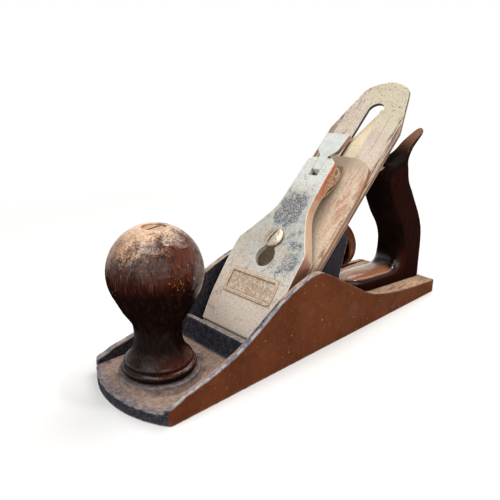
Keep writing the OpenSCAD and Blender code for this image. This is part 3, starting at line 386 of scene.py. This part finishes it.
def blade_steel():
    """Pale aged steel with brown lines along both edges, black pits at the top and a rusty rim, with painted shade on
    the slot walls and a partly painted highlight towards the top.
    """
    p = Paint("blade_steel", 0.3)
    s = p.up_bed()
    streak = p.noise(2.2, 6, 0.6, at=p.bed_grain((0.12, 1, 1)))
    cloud, fine = p.noise(16, 4), p.noise(1.6, 5, 0.6)
    base = p.blend(p.ramp(fine, 0.35, 0.65), (0.60, 0.50, 0.41), (0.72, 0.61, 0.50))
    base = p.blend(p.times(p.ramp(cloud, 0.44, 0.66), 0.45), base, (0.55, 0.43, 0.36))
    # Cream towards the top: partly the steel's own tone, partly a painted highlight.
    top = p.ramp(p.plus(s, p.times(p.y, 0.9), p.times(cloud, 26)), 176, 204)
    base = p.blend(p.times(top, 0.8), base, (0.60, 0.54, 0.385))
    edge = p.ramp(p.plus(p.off, p.times(p.noise(12, 4), 6)), 22.6, 25.0)
    hair = p.noise(0.9, 5, 0.7, 0.3, at=p.bed_grain((0.06, 1, 1)))
    base = p.blend(p.times(p.ramp(p.off, 22.3, 24.2), 0.55), base, (0.46, 0.28, 0.19))
    base = p.blend(p.times(edge, p.ramp(hair, 0.46, 0.53), 0.9), base, (0.13, 0.060, 0.035))
    scratch = p.ramp(p.noise(1.1, 5, 0.75, 0.5, at=p.bed_grain((0.10, 1, 1))), 0.60, 0.66)
    base = p.blend(p.times(scratch, p.ramp(p.off, 8, 20), 0.6), base, (0.24, 0.13, 0.08))
    pits = p.ramp(p.noise(0.75, 4, 0.7, 0.4, at=p.bed_grain((1, 0.7, 1))), 0.56, 0.62)
    dense = p.ramp(p.plus(s, p.times(p.off, 0.5), p.times(cloud, 30)), 186, 208)
    base = p.blend(p.times(pits, p.plus(p.times(dense, 0.65), 0.28)), base, (0.060, 0.034, 0.022))
    dashes = p.ramp(p.noise(1.3, 5, 0.7, 0.4, at=p.bed_grain((0.16, 1, 1))), 0.53, 0.60)
    far_side = p.ramp(p.plus(p.times(p.y, -1), p.times(p.noise(9, 4), 10)), 14, 20)
    base = p.blend(p.times(dashes, far_side, 0.85), base, (0.15, 0.072, 0.042))
    line = p.times(p.band(p.y, 13.2, 13.5, 0.15), p.band(s, 142, 172, 3))
    base = p.blend(p.times(line, 0.8), base, (0.20, 0.12, 0.08))
    rim = p.blend(p.ramp(streak, 0.4, 0.6), (0.11, 0.048, 0.026), (0.26, 0.13, 0.08))
    # Painted shade: the slot walls in the middle of the iron are near black.
    rim = p.blend(p.ramp(p.off, 8.5, 7.5), rim, (0.030, 0.018, 0.012))
    base = p.blend(p.flat_on_bed(), rim, base)
    p.colour(p.blend(p.times(p.worn_edge(0.45), 0.55), base, (0.78, 0.66, 0.52)))
    p.roughness(fine, 0.36, 0.62)
    p.bump(p.math("SUBTRACT", p.times(fine, 0.5), p.times(pits, 0.7)), 0.08, 0.2)
    return p.material


def cap_steel():
    """Tan steel with small brown pits, stained orange brown down the middle."""
    p = Paint("cap_steel", 0.3)
    s = p.up_bed()
    fine = p.noise(1.3, 5, 0.65)
    streak = p.noise(2.6, 6, 0.6, at=p.bed_grain((0.2, 1, 1)))
    base = p.blend(p.ramp(fine, 0.35, 0.65), (0.64, 0.50, 0.38), (0.74, 0.61, 0.47))
    stain = p.ramp(p.noise(5, 6, 0.7, 0.8, at=p.bed_grain((0.3, 1, 1))), 0.49, 0.60)
    right = p.ramp(p.y, 5, 14)
    base = p.blend(p.times(stain, p.ramp(s, 66, 100), right, 0.75), base, (0.47, 0.22, 0.12))
    rust = p.ramp(p.plus(p.off, p.times(p.noise(8, 4), 6)), 24, 27)
    hair = p.noise(0.7, 5, 0.7, 0.4, at=p.bed_grain((0.12, 1, 1)))
    base = p.blend(p.times(rust, p.ramp(hair, 0.48, 0.56)), base, (0.22, 0.11, 0.06))
    pits = p.ramp(p.noise(0.7, 4, 0.65), 0.56, 0.62)
    base = p.blend(p.times(pits, 0.75), base, (0.26, 0.14, 0.075))
    light = p.ramp(p.noise(0.8, 4, 0.65, 0.3), 0.42, 0.34)
    base = p.blend(p.times(light, 0.6), base, (0.90, 0.78, 0.62))
    # Darker greyish tan from under the cam lever upwards: partly the steel's tone, partly a painted shadow of the cam
    # lever.
    base = p.blend(p.times(p.ramp(s, 116, 134), 0.55), base, (0.42, 0.33, 0.25))
    side = p.ramp(p.math("ABSOLUTE", p.normal[1]), 0.5, 0.8)
    base = p.blend(side, base, (0.30, 0.15, 0.08))
    p.colour(p.blend(p.times(p.worn_edge(0.5), 0.6), base, (0.50, 0.32, 0.20)))
    p.roughness(streak, 0.34, 0.6)
    p.bump(p.math("SUBTRACT", p.times(fine, 0.5), p.times(pits, 0.5)), 0.06, 0.3)
    return p.material


def worn_nickel():
    """Pale plating worn through to blue-grey specks in patches, brown on the flanks and warm at the lip, with a partly
    painted sheen at the lip, a painted highlight near the top and painted shade in the corners.
    """
    p = Paint("worn_nickel")
    s = p.up_bed()
    p.put(p.plus(0.2, p.times(p.ramp(s, 40, 64), 0.25)), p.shader.inputs["Metallic"])
    cloud, fine, grit = p.noise(12, 5, 0.6), p.noise(0.8, 5, 0.7), p.noise(0.45, 3, 0.6)
    mottle = p.noise(2.6, 6, 0.7)
    base = p.blend(p.ramp(p.plus(cloud, p.times(p.y, 0.006)), 0.40, 0.62), (0.70, 0.63, 0.52), (0.68, 0.69, 0.64))
    base = p.blend(p.times(p.ramp(mottle, 0.48, 0.62), 0.45), base, (0.46, 0.48, 0.47))
    base = p.blend(p.times(p.ramp(mottle, 0.46, 0.36), 0.45), base, (0.84, 0.82, 0.74))
    # Warm and bright at the lip: partly the plating's warm tone, partly a painted sheen.
    base = p.blend(p.times(p.ramp(s, 56, 28), 0.8), base, (0.94, 0.76, 0.62))
    # Painted highlight: the colour goes near white towards the top of the cap.
    base = p.blend(p.times(p.ramp(s, 92, 106), 0.8), base, (0.95, 0.96, 0.90))
    dark = p.times(p.band(s, 74, 96, 6), p.band(p.y, -8, 7, 4), 0.33)
    flank_zone = p.times(p.band(s, 44, 70, 8), p.band(p.y, 6, 24, 4), 0.14)
    patch = p.ramp(p.plus(dark, flank_zone, p.noise(6, 6, 0.65)), 0.54, 0.76)
    speck = p.ramp(p.plus(p.times(fine, 0.5), p.times(grit, 0.5)), 0.45, 0.50)
    base = p.blend(p.times(patch, speck, 0.95), base, (0.036, 0.050, 0.090))
    thin = p.ramp(p.plus(p.times(fine, 0.6), p.times(grit, 0.4)), 0.53, 0.58)
    base = p.blend(p.times(thin, 0.6), base, (0.17, 0.18, 0.20))
    base = p.blend(p.times(p.ramp(grit, 0.62, 0.70), 0.45), base, (0.27, 0.18, 0.11))
    base = p.blend(p.times(p.ramp(grit, 0.36, 0.30), 0.6), base, (0.90, 0.88, 0.82))
    flank = p.times(p.ramp(p.math("ABSOLUTE", p.normal[1]), 0.45, 0.75), p.ramp(p.off, 7.5, 7.7))
    orange = p.ramp(p.plus(s, p.times(p.noise(6, 5), 30)), 98, 122)
    scuffs = p.ramp(p.noise(1.8, 5, 0.7), 0.50, 0.62)
    copper = p.blend(orange, (0.62, 0.43, 0.31), p.blend(scuffs, (0.46, 0.125, 0.040), (0.66, 0.34, 0.19)))
    ear = p.times(p.ramp(s, 99, 107), p.ramp(p.off_bed(), 17.4, 15.8))
    copper = p.blend(ear, copper, p.blend(p.ramp(p.noise(1.6, 5, 0.7), 0.42, 0.60), (0.56, 0.36, 0.23), (0.24, 0.12, 0.07)))
    copper = p.blend(p.ramp(p.plus(s, p.times(p.noise(5, 4), 12)), 70, 62), copper, (0.30, 0.13, 0.07))
    base = p.blend(flank, base, copper)
    along = p.math("ABSOLUTE", p.math("SUBTRACT", s, 35))
    frame_band = p.most(p.band(p.off, 16.2, 18.8, 0.3), p.band(along, 5.1, 7.8, 0.3))
    frame_band = p.times(frame_band, p.ramp(p.off, 19.0, 18.6), p.ramp(along, 8.0, 7.6), p.ramp(p.off_bed(), 8, 10))
    base = p.blend(p.times(frame_band, 0.9), base, p.blend(p.ramp(fine, 0.4, 0.6), (0.86, 0.64, 0.42), (0.40, 0.24, 0.13)))
    inside = p.times(p.ramp(p.off, 16.8, 16.4), p.ramp(along, 5.7, 5.3), p.ramp(mottle, 0.35, 0.55))
    base = p.blend(p.times(inside, 0.85), base, p.blend(p.ramp(fine, 0.4, 0.6), (0.66, 0.47, 0.30), (0.36, 0.23, 0.14)))
    # Painted shade: the colour darkens to brown in corners and around the raised bead.
    base = p.blend(p.times(p.painted_corner_shade(1.8, 0.88, 0.45), 0.8), base, (0.20, 0.12, 0.07))
    p.colour(p.blend(p.times(p.worn_edge(0.7), 0.75), base, (0.90, 0.82, 0.72)))
    p.roughness(p.times(speck, patch), 0.34, 0.55)
    p.bump(p.math("SUBTRACT", p.times(fine, 0.5), p.times(speck, patch, 0.5)), 0.09, 0.4)
    return p.material


def bright_nickel():
    """Bright plating with a few dull clouds, brown on the flanks, with painted shade in the corners."""
    p = Paint("bright_nickel", 0.35)
    s = p.up_bed()
    cloud, grit = p.noise(5, 4), p.noise(0.5, 3, 0.6)
    base = p.blend(p.ramp(cloud, 0.42, 0.62), (0.80, 0.83, 0.78), (0.70, 0.74, 0.71))
    base = p.blend(p.times(p.ramp(grit, 0.64, 0.72), 0.4), base, (0.40, 0.34, 0.28))
    base = p.blend(p.times(p.ramp(s, 139.5, 141.5), 0.6), base, (0.62, 0.55, 0.50))
    copper = p.blend(p.ramp(p.noise(4, 4), 0.4, 0.6), (0.10, 0.050, 0.035), (0.22, 0.10, 0.065))
    copper = p.blend(p.ramp(s, 126, 140), copper, (0.44, 0.22, 0.14))
    base = p.blend(p.ramp(p.math("ABSOLUTE", p.normal[1]), 0.5, 0.8), base, copper)
    # Painted shade: the colour darkens to brown in corners.
    base = p.blend(p.times(p.painted_corner_shade(1.6, 0.85, 0.45), 0.6), base, (0.20, 0.13, 0.08))
    p.colour(p.blend(p.times(p.worn_edge(0.6), 0.6), base, (0.94, 0.90, 0.84)))
    p.roughness(cloud, 0.20, 0.42)
    p.bump(cloud, 0.08, 0.5)
    return p.material


def steel(name, tone=(0.33, 0.30, 0.27), stain=(0.20, 0.12, 0.07), metallic=0.75):
    p = Paint(name, metallic)
    fine = p.noise(1.1, 5, 0.65)
    base = p.blend(p.ramp(fine, 0.42, 0.65), tone, stain)
    # Painted shade: the colour darkens in corners and recesses.
    base = p.blend(p.times(p.painted_corner_shade(3), 0.7), base, tuple(0.35 * c for c in stain))
    p.colour(p.blend(p.times(p.worn_edge(0.5), 0.6), base, tuple(min(1, 1.4 * c) for c in tone)))
    p.roughness(fine, 0.28, 0.55)
    p.bump(fine, 0.05, 0.25)
    return p.material


def aged_brass():
    """Dark orange brass with painted shade between the knurls, and bright on the rims."""
    p = Paint("aged_brass", 0.85)
    fine = p.noise(1.5, 5, 0.6)
    base = p.blend(p.ramp(fine, 0.35, 0.65), (0.13, 0.028, 0.004), (0.055, 0.014, 0.004))
    # Painted shade: darker between the knurls.
    base = p.blend(p.times(p.painted_corner_shade(2.5), 0.8), base, (0.03, 0.012, 0.007))
    p.colour(p.blend(p.times(p.worn_edge(0.6), 0.7), base, (0.42, 0.16, 0.035)))
    p.roughness(fine, 0.25, 0.5)
    p.bump(fine, 0.04, 0.25)
    return p.material


def dull_brass():
    """Brass gone dull and tan, painted darker on the faces that do not point up, as shade in the slot."""
    p = Paint("dull_brass", 0.25)
    fine = p.noise(1.2, 5, 0.65)
    base = p.blend(p.ramp(fine, 0.38, 0.62), (0.62, 0.41, 0.25), (0.40, 0.24, 0.14))
    # Painted shade: the faces that do not point up, such as the slot walls, are darkened.
    base = p.blend(p.times(p.ramp(p.normal[2], 0.9, 0.6), 0.8), base, (0.12, 0.06, 0.03))
    p.colour(p.blend(p.times(p.worn_edge(0.5), 0.5), base, (0.75, 0.55, 0.36)))
    p.roughness(fine, 0.4, 0.6)
    p.bump(fine, 0.05, 0.25)
    return p.material


def knob_wood():
    """Dark red varnished wood, rubbed down to tan at the top, nearly black below the waist."""
    p = Paint("knob_wood")
    grain = p.noise(1.3, 6, 0.62, at=p.stretch((1, 1, 0.05)))
    scuff = p.noise(0.7, 4, 0.65, at=p.stretch((1, 1, 0.09)))
    cloud = p.noise(13, 5, 0.6)
    right = p.along((-0.717, 0.697, 0), -0.717 * KNOB_X)
    base = p.blend(p.ramp(cloud, 0.40, 0.62), (0.048, 0.019, 0.013), (0.088, 0.034, 0.024))
    belt = p.ramp(p.plus(p.z, p.times(cloud, 10)), 71, 63)
    base = p.blend(belt, base, (0.044, 0.0070, 0.0050))
    blotch = p.noise(3.2, 5, 0.65, at=p.stretch((1, 1, 0.4)))
    red = p.times(p.ramp(p.plus(right, p.times(cloud, 10)), 9, 18), p.ramp(p.z, 50, 60), p.ramp(right, 23, 17))
    base = p.blend(p.times(red, p.ramp(blotch, 0.40, 0.60)), base, (0.150, 0.028, 0.008))
    low = p.ramp(p.plus(p.z, p.times(cloud, 10)), 71, 57)
    base = p.blend(p.times(low, 0.97), base, (0.0050, 0.0026, 0.0022))
    foot = p.times(p.ramp(p.z, 24, 15), p.ramp(p.plus(right, p.times(cloud, 8)), 0, 9))
    base = p.blend(p.times(foot, 0.85), base, (0.070, 0.017, 0.008))
    flare = p.times(p.ramp(p.z, 26, 16), p.ramp(p.plus(right, p.times(cloud, 8)), 8, 0))
    base = p.blend(p.times(flare, 0.6), base, (0.030, 0.018, 0.015))
    base = p.blend(p.ramp(p.z, 13.6, 12.6), base, (0.014, 0.007, 0.005))
    base = p.blend(p.times(p.ramp(grain, 0.48, 0.64), 0.6), base, (0.014, 0.0055, 0.004))
    # Pale pinkish streaks left of the middle of the ball: scuffed varnish, and partly a painted sheen.
    pale = p.times(p.ramp(scuff, 0.52, 0.64), p.band(p.z, 58, 76, 5), p.ramp(right, 10, 0), 0.5)
    base = p.blend(pale, base, (0.20, 0.13, 0.11))
    base = p.blend(p.times(p.ramp(blotch, 0.50, 0.62), 0.75), base, (0.017, 0.0065, 0.005))
    lean = p.along((0.22, -0.22, 1), 0.22 * KNOB_X)
    rub = p.ramp(p.plus(lean, p.times(p.noise(7, 6, 0.65), 20), p.times(p.noise(0.8, 4, 0.7), 22)), 91, 102)
    tan = p.blend(p.ramp(grain, 0.38, 0.62), (0.86, 0.62, 0.43), (0.60, 0.37, 0.24))
    tan = p.blend(p.times(p.ramp(right, -8, -15), 0.8), tan, (0.42, 0.215, 0.115))
    spots = p.ramp(p.noise(1.2, 5, 0.75), 0.52, 0.60)
    tan = p.blend(p.times(spots, p.ramp(p.z, 79, 70), 0.85), tan, (0.10, 0.040, 0.022))
    base = p.blend(p.times(rub, 0.9), base, tan)
    zone = p.times(p.band(p.z, 48, 72, 8), p.plus(0.07, p.times(p.ramp(p.math("ABSOLUTE", right), 6, 17), 0.08)))
    zone = p.plus(zone, p.times(p.band(right, 8, 16, 2), p.band(p.z, 57, 66, 3), 0.05))
    chips = p.ramp(p.plus(zone, p.noise(1.0, 4, 0.7, 0.6, at=p.stretch((1, 1, 0.55)))), 0.745, 0.80)
    base = p.blend(p.times(chips, 0.75), base, (0.42, 0.21, 0.095))
    crack = p.noise(1.4, 2, 0.5, 0.9, at=p.stretch((0.10, 0.9, 0.9), (0, 0, 0.6)))
    split = p.times(p.ramp(crack, 0.64, 0.68), p.ramp(p.z, 72, 76))
    base = p.blend(p.times(split, 0.8), base, (0.07, 0.030, 0.018))
    p.colour(base)
    p.roughness(p.most(p.times(rub, 0.8), p.times(grain, 0.6), chips), 0.20, 0.55)
    p.shader.inputs["Specular IOR Level"].default_value = 0.0
    ends = p.most(p.ramp(p.z, 50, 62), p.ramp(p.z, 22, 14))
    gloss = p.times(p.facing(2, 0.02, 0.5), p.plus(0.25, p.times(ends, 0.75)))
    crazed = p.plus(0.35, p.times(p.ramp(p.noise(0.8, 4, 0.65, at=p.stretch((1, 1, 0.22))), 0.54, 0.44), 0.65))
    neck = p.times(p.ramp(p.z, 34, 30), 0.12)
    p.varnish(p.most(p.times(p.most(gloss, neck), crazed), p.times(p.ramp(right, 17.5, 20.5), p.band(p.z, 48, 70, 5))), 1.0, 0.08)
    height = p.math("SUBTRACT", p.plus(p.times(grain, 0.5), p.times(scuff, 0.35)), p.times(chips, 0.8))
    p.bump(height, 0.10, 0, True)
    return p.material


def tote_wood():
    """Nearly black glossy wood, dark red on the flat sides, rubbed to tan and red at the foot, with a painted highlight
    along the top of the horn.
    """
    p = Paint("tote_wood")
    c, s = math.cos(TOTE_TURN), math.sin(TOTE_TURN)
    ahead = p.along((c, -s, 0), c * TOTE_X)
    left = p.along((s, c, 0), s * TOTE_X)
    grain = p.noise(1.3, 6, 0.6, at=p.stretch((1, 1, 0.08), (0, math.radians(18), 0)))
    cloud = p.noise(12, 5, 0.6)
    level = p.math("ABSOLUTE", p.normal[1])
    base = p.blend(p.ramp(cloud, 0.38, 0.66), (0.0055, 0.003, 0.0025), (0.012, 0.005, 0.0035))
    side = p.blend(p.ramp(grain, 0.4, 0.65), (0.017, 0.0055, 0.0042), (0.024, 0.0080, 0.0060))
    base = p.blend(p.ramp(level, 0.84, 0.965), base, side)
    red = p.times(p.band(p.z, 14, 30, 5), p.ramp(ahead, -40, -30), p.ramp(level, 0.35, 0.8))
    base = p.blend(p.times(red, 0.8), base, (0.045, 0.010, 0.006))
    top = p.times(p.facing(2, 0.60, 0.88), p.ramp(p.z, 26, 19), p.ramp(p.plus(ahead, p.times(cloud, 8)), -24, -14))
    worn = p.blend(p.ramp(p.plus(left, p.times(cloud, 8)), 3, 9), (0.62, 0.44, 0.32), (0.50, 0.20, 0.105))
    worn = p.blend(p.times(p.ramp(grain, 0.45, 0.65), 0.3), worn, (0.22, 0.08, 0.045))
    base = p.blend(p.times(top, 0.95), base, worn)
    # Painted highlight: a lighter brown band on the upward faces at the top of the horn.
    horn_highlight = p.times(p.ramp(p.z, 96, 112), p.facing(2, 0.25, 0.6))
    base = p.blend(p.times(horn_highlight, 0.8), base, (0.25, 0.12, 0.08))
    dents = p.ramp(p.noise(1.4, 4, 0.65), 0.73, 0.76)
    p.colour(p.blend(p.times(dents, 0.5), base, (0.16, 0.085, 0.055)))
    p.roughness(p.most(p.times(grain, 0.6), p.times(p.ramp(level, 0.84, 0.965), 0.7)), 0.14, 0.5)
    p.shader.inputs["Specular IOR Level"].default_value = 0.0
    low = p.ramp(p.z, 60, 46)
    gloss = p.times(p.facing(2, 0.02, 0.45), p.ramp(level, 0.97, 0.8), p.plus(0.03, p.times(low, 0.97)))
    p.varnish(gloss, 1.0, 0.07)
    p.bump(p.plus(p.times(grain, 0.4), p.times(p.noise(6, 2), 1.2)), 0.18, 0, True)
    return p.material


def make_floor():
    """A plain white floor that takes the part's shadow and stays white into the distance."""
    p = Paint("floor_white")
    p.colour((0.82, 0.82, 0.82))
    p.shader.inputs["Roughness"].default_value = 0.9
    reach = p.math("POWER", p.plus(p.times(p.x, p.x), p.times(p.y, p.y)), 0.5)
    rays = p.add("ShaderNodeLightPath").outputs
    seen = p.most(rays["Is Camera Ray"], rays["Is Glossy Ray"], rays["Is Transmission Ray"])
    white = p.add("ShaderNodeEmission")
    white.inputs["Strength"].default_value = 1.0
    mix = p.add("ShaderNodeMixShader")
    p.put(p.times(seen, p.ramp(reach, 230, 480)), mix.inputs["Fac"])
    p.put(p.shader.outputs[0], mix.inputs[1])
    p.put(white.outputs[0], mix.inputs[2])
    p.put(mix.outputs[0], p.tree.nodes["Material Output"].inputs["Surface"])
    half = 30.0
    mesh = bpy.data.meshes.new("floor")
    mesh.from_pydata([(-half, -half, 0), (half, -half, 0), (half, half, 0), (-half, half, 0)], [], [(0, 1, 2, 3)])
    floor = bpy.data.objects.new("floor", mesh)
    bpy.context.scene.collection.objects.link(floor)
    mesh.materials.append(p.material)


def dress(material, *names):
    for name in names:
        data = NODES[name].data
        data.materials.clear()
        data.materials.append(material)
        for face in data.polygons:
            face.material_index = 0


def smooth(name, limit=32):
    """Rounds the shading of a faceted piece, and keeps the edges that are sharper than the limit."""
    tree = bpy.data.node_groups.new("smooth_" + name, "GeometryNodeTree")
    tree.interface.new_socket("Geometry", in_out="INPUT", socket_type="NodeSocketGeometry")
    tree.interface.new_socket("Geometry", in_out="OUTPUT", socket_type="NodeSocketGeometry")
    nodes, links = tree.nodes, tree.links
    merge = nodes.new("GeometryNodeMergeByDistance")
    merge.inputs["Distance"].default_value = 0.001 * MM
    angle = nodes.new("GeometryNodeInputMeshEdgeAngle")
    sharp = nodes.new("FunctionNodeCompare")
    sharp.operation = "GREATER_THAN"
    sharp.inputs["B"].default_value = math.radians(limit)
    edges = nodes.new("GeometryNodeSetShadeSmooth")
    edges.domain = "EDGE"
    edges.inputs["Shade Smooth"].default_value = False
    faces = nodes.new("GeometryNodeSetShadeSmooth")
    links.new(nodes.new("NodeGroupInput").outputs[0], merge.inputs["Geometry"])
    links.new(merge.outputs["Geometry"], edges.inputs["Geometry"])
    links.new(angle.outputs["Unsigned Angle"], sharp.inputs["A"])
    links.new(sharp.outputs["Result"], edges.inputs["Selection"])
    links.new(edges.outputs["Geometry"], faces.inputs["Geometry"])
    links.new(faces.outputs["Geometry"], nodes.new("NodeGroupOutput").inputs[0])
    NODES[name].modifiers.new("smooth", "NODES").node_group = tree


def dress_all():
    dress(cast_body(), "plane_body")
    dress(japanned(), "frog")
    dress(blade_steel(), "plane_iron")
    dress(cap_steel(), "cap_iron")
    dress(steel("lever_steel", (0.88, 0.78, 0.56), (0.74, 0.60, 0.39), 0.35), "lateral_lever", "lateral_roller")
    dress(worn_nickel(), "lever_cap")
    dress(bright_nickel(), "cam_lever")
    dress(steel("screw_steel", (0.70, 0.64, 0.52), (0.40, 0.28, 0.17)), "lever_cap_screw")
    dress(steel("dull_steel"), "frog_screws", "frog_washers", "frog_adjusting_screw", "frog_clip",
          "frog_clip_screw", "yoke", "yoke_pin", "depth_stud", "lateral_lever_rivet", "cap_iron_screw",
          "spring_rivets", "knob_bolt", "tote_bolt")
    dress(steel("pin_steel", (0.36, 0.20, 0.11), (0.20, 0.11, 0.07), 0.5), "cam_pin")
    dress(steel("spring_steel", (0.50, 0.38, 0.25), (0.26, 0.15, 0.08)), "lever_cap_spring")
    dress(aged_brass(), "depth_nut")
    dress(dull_brass(), "knob_nut", "tote_nut")
    dress(knob_wood(), "front_knob")
    dress(tote_wood(), "tote")
    smooth("tote")


make_camera()
make_lights()
make_floor()
dress_all()
bpy.context.scene.view_settings.view_transform = "Standard"
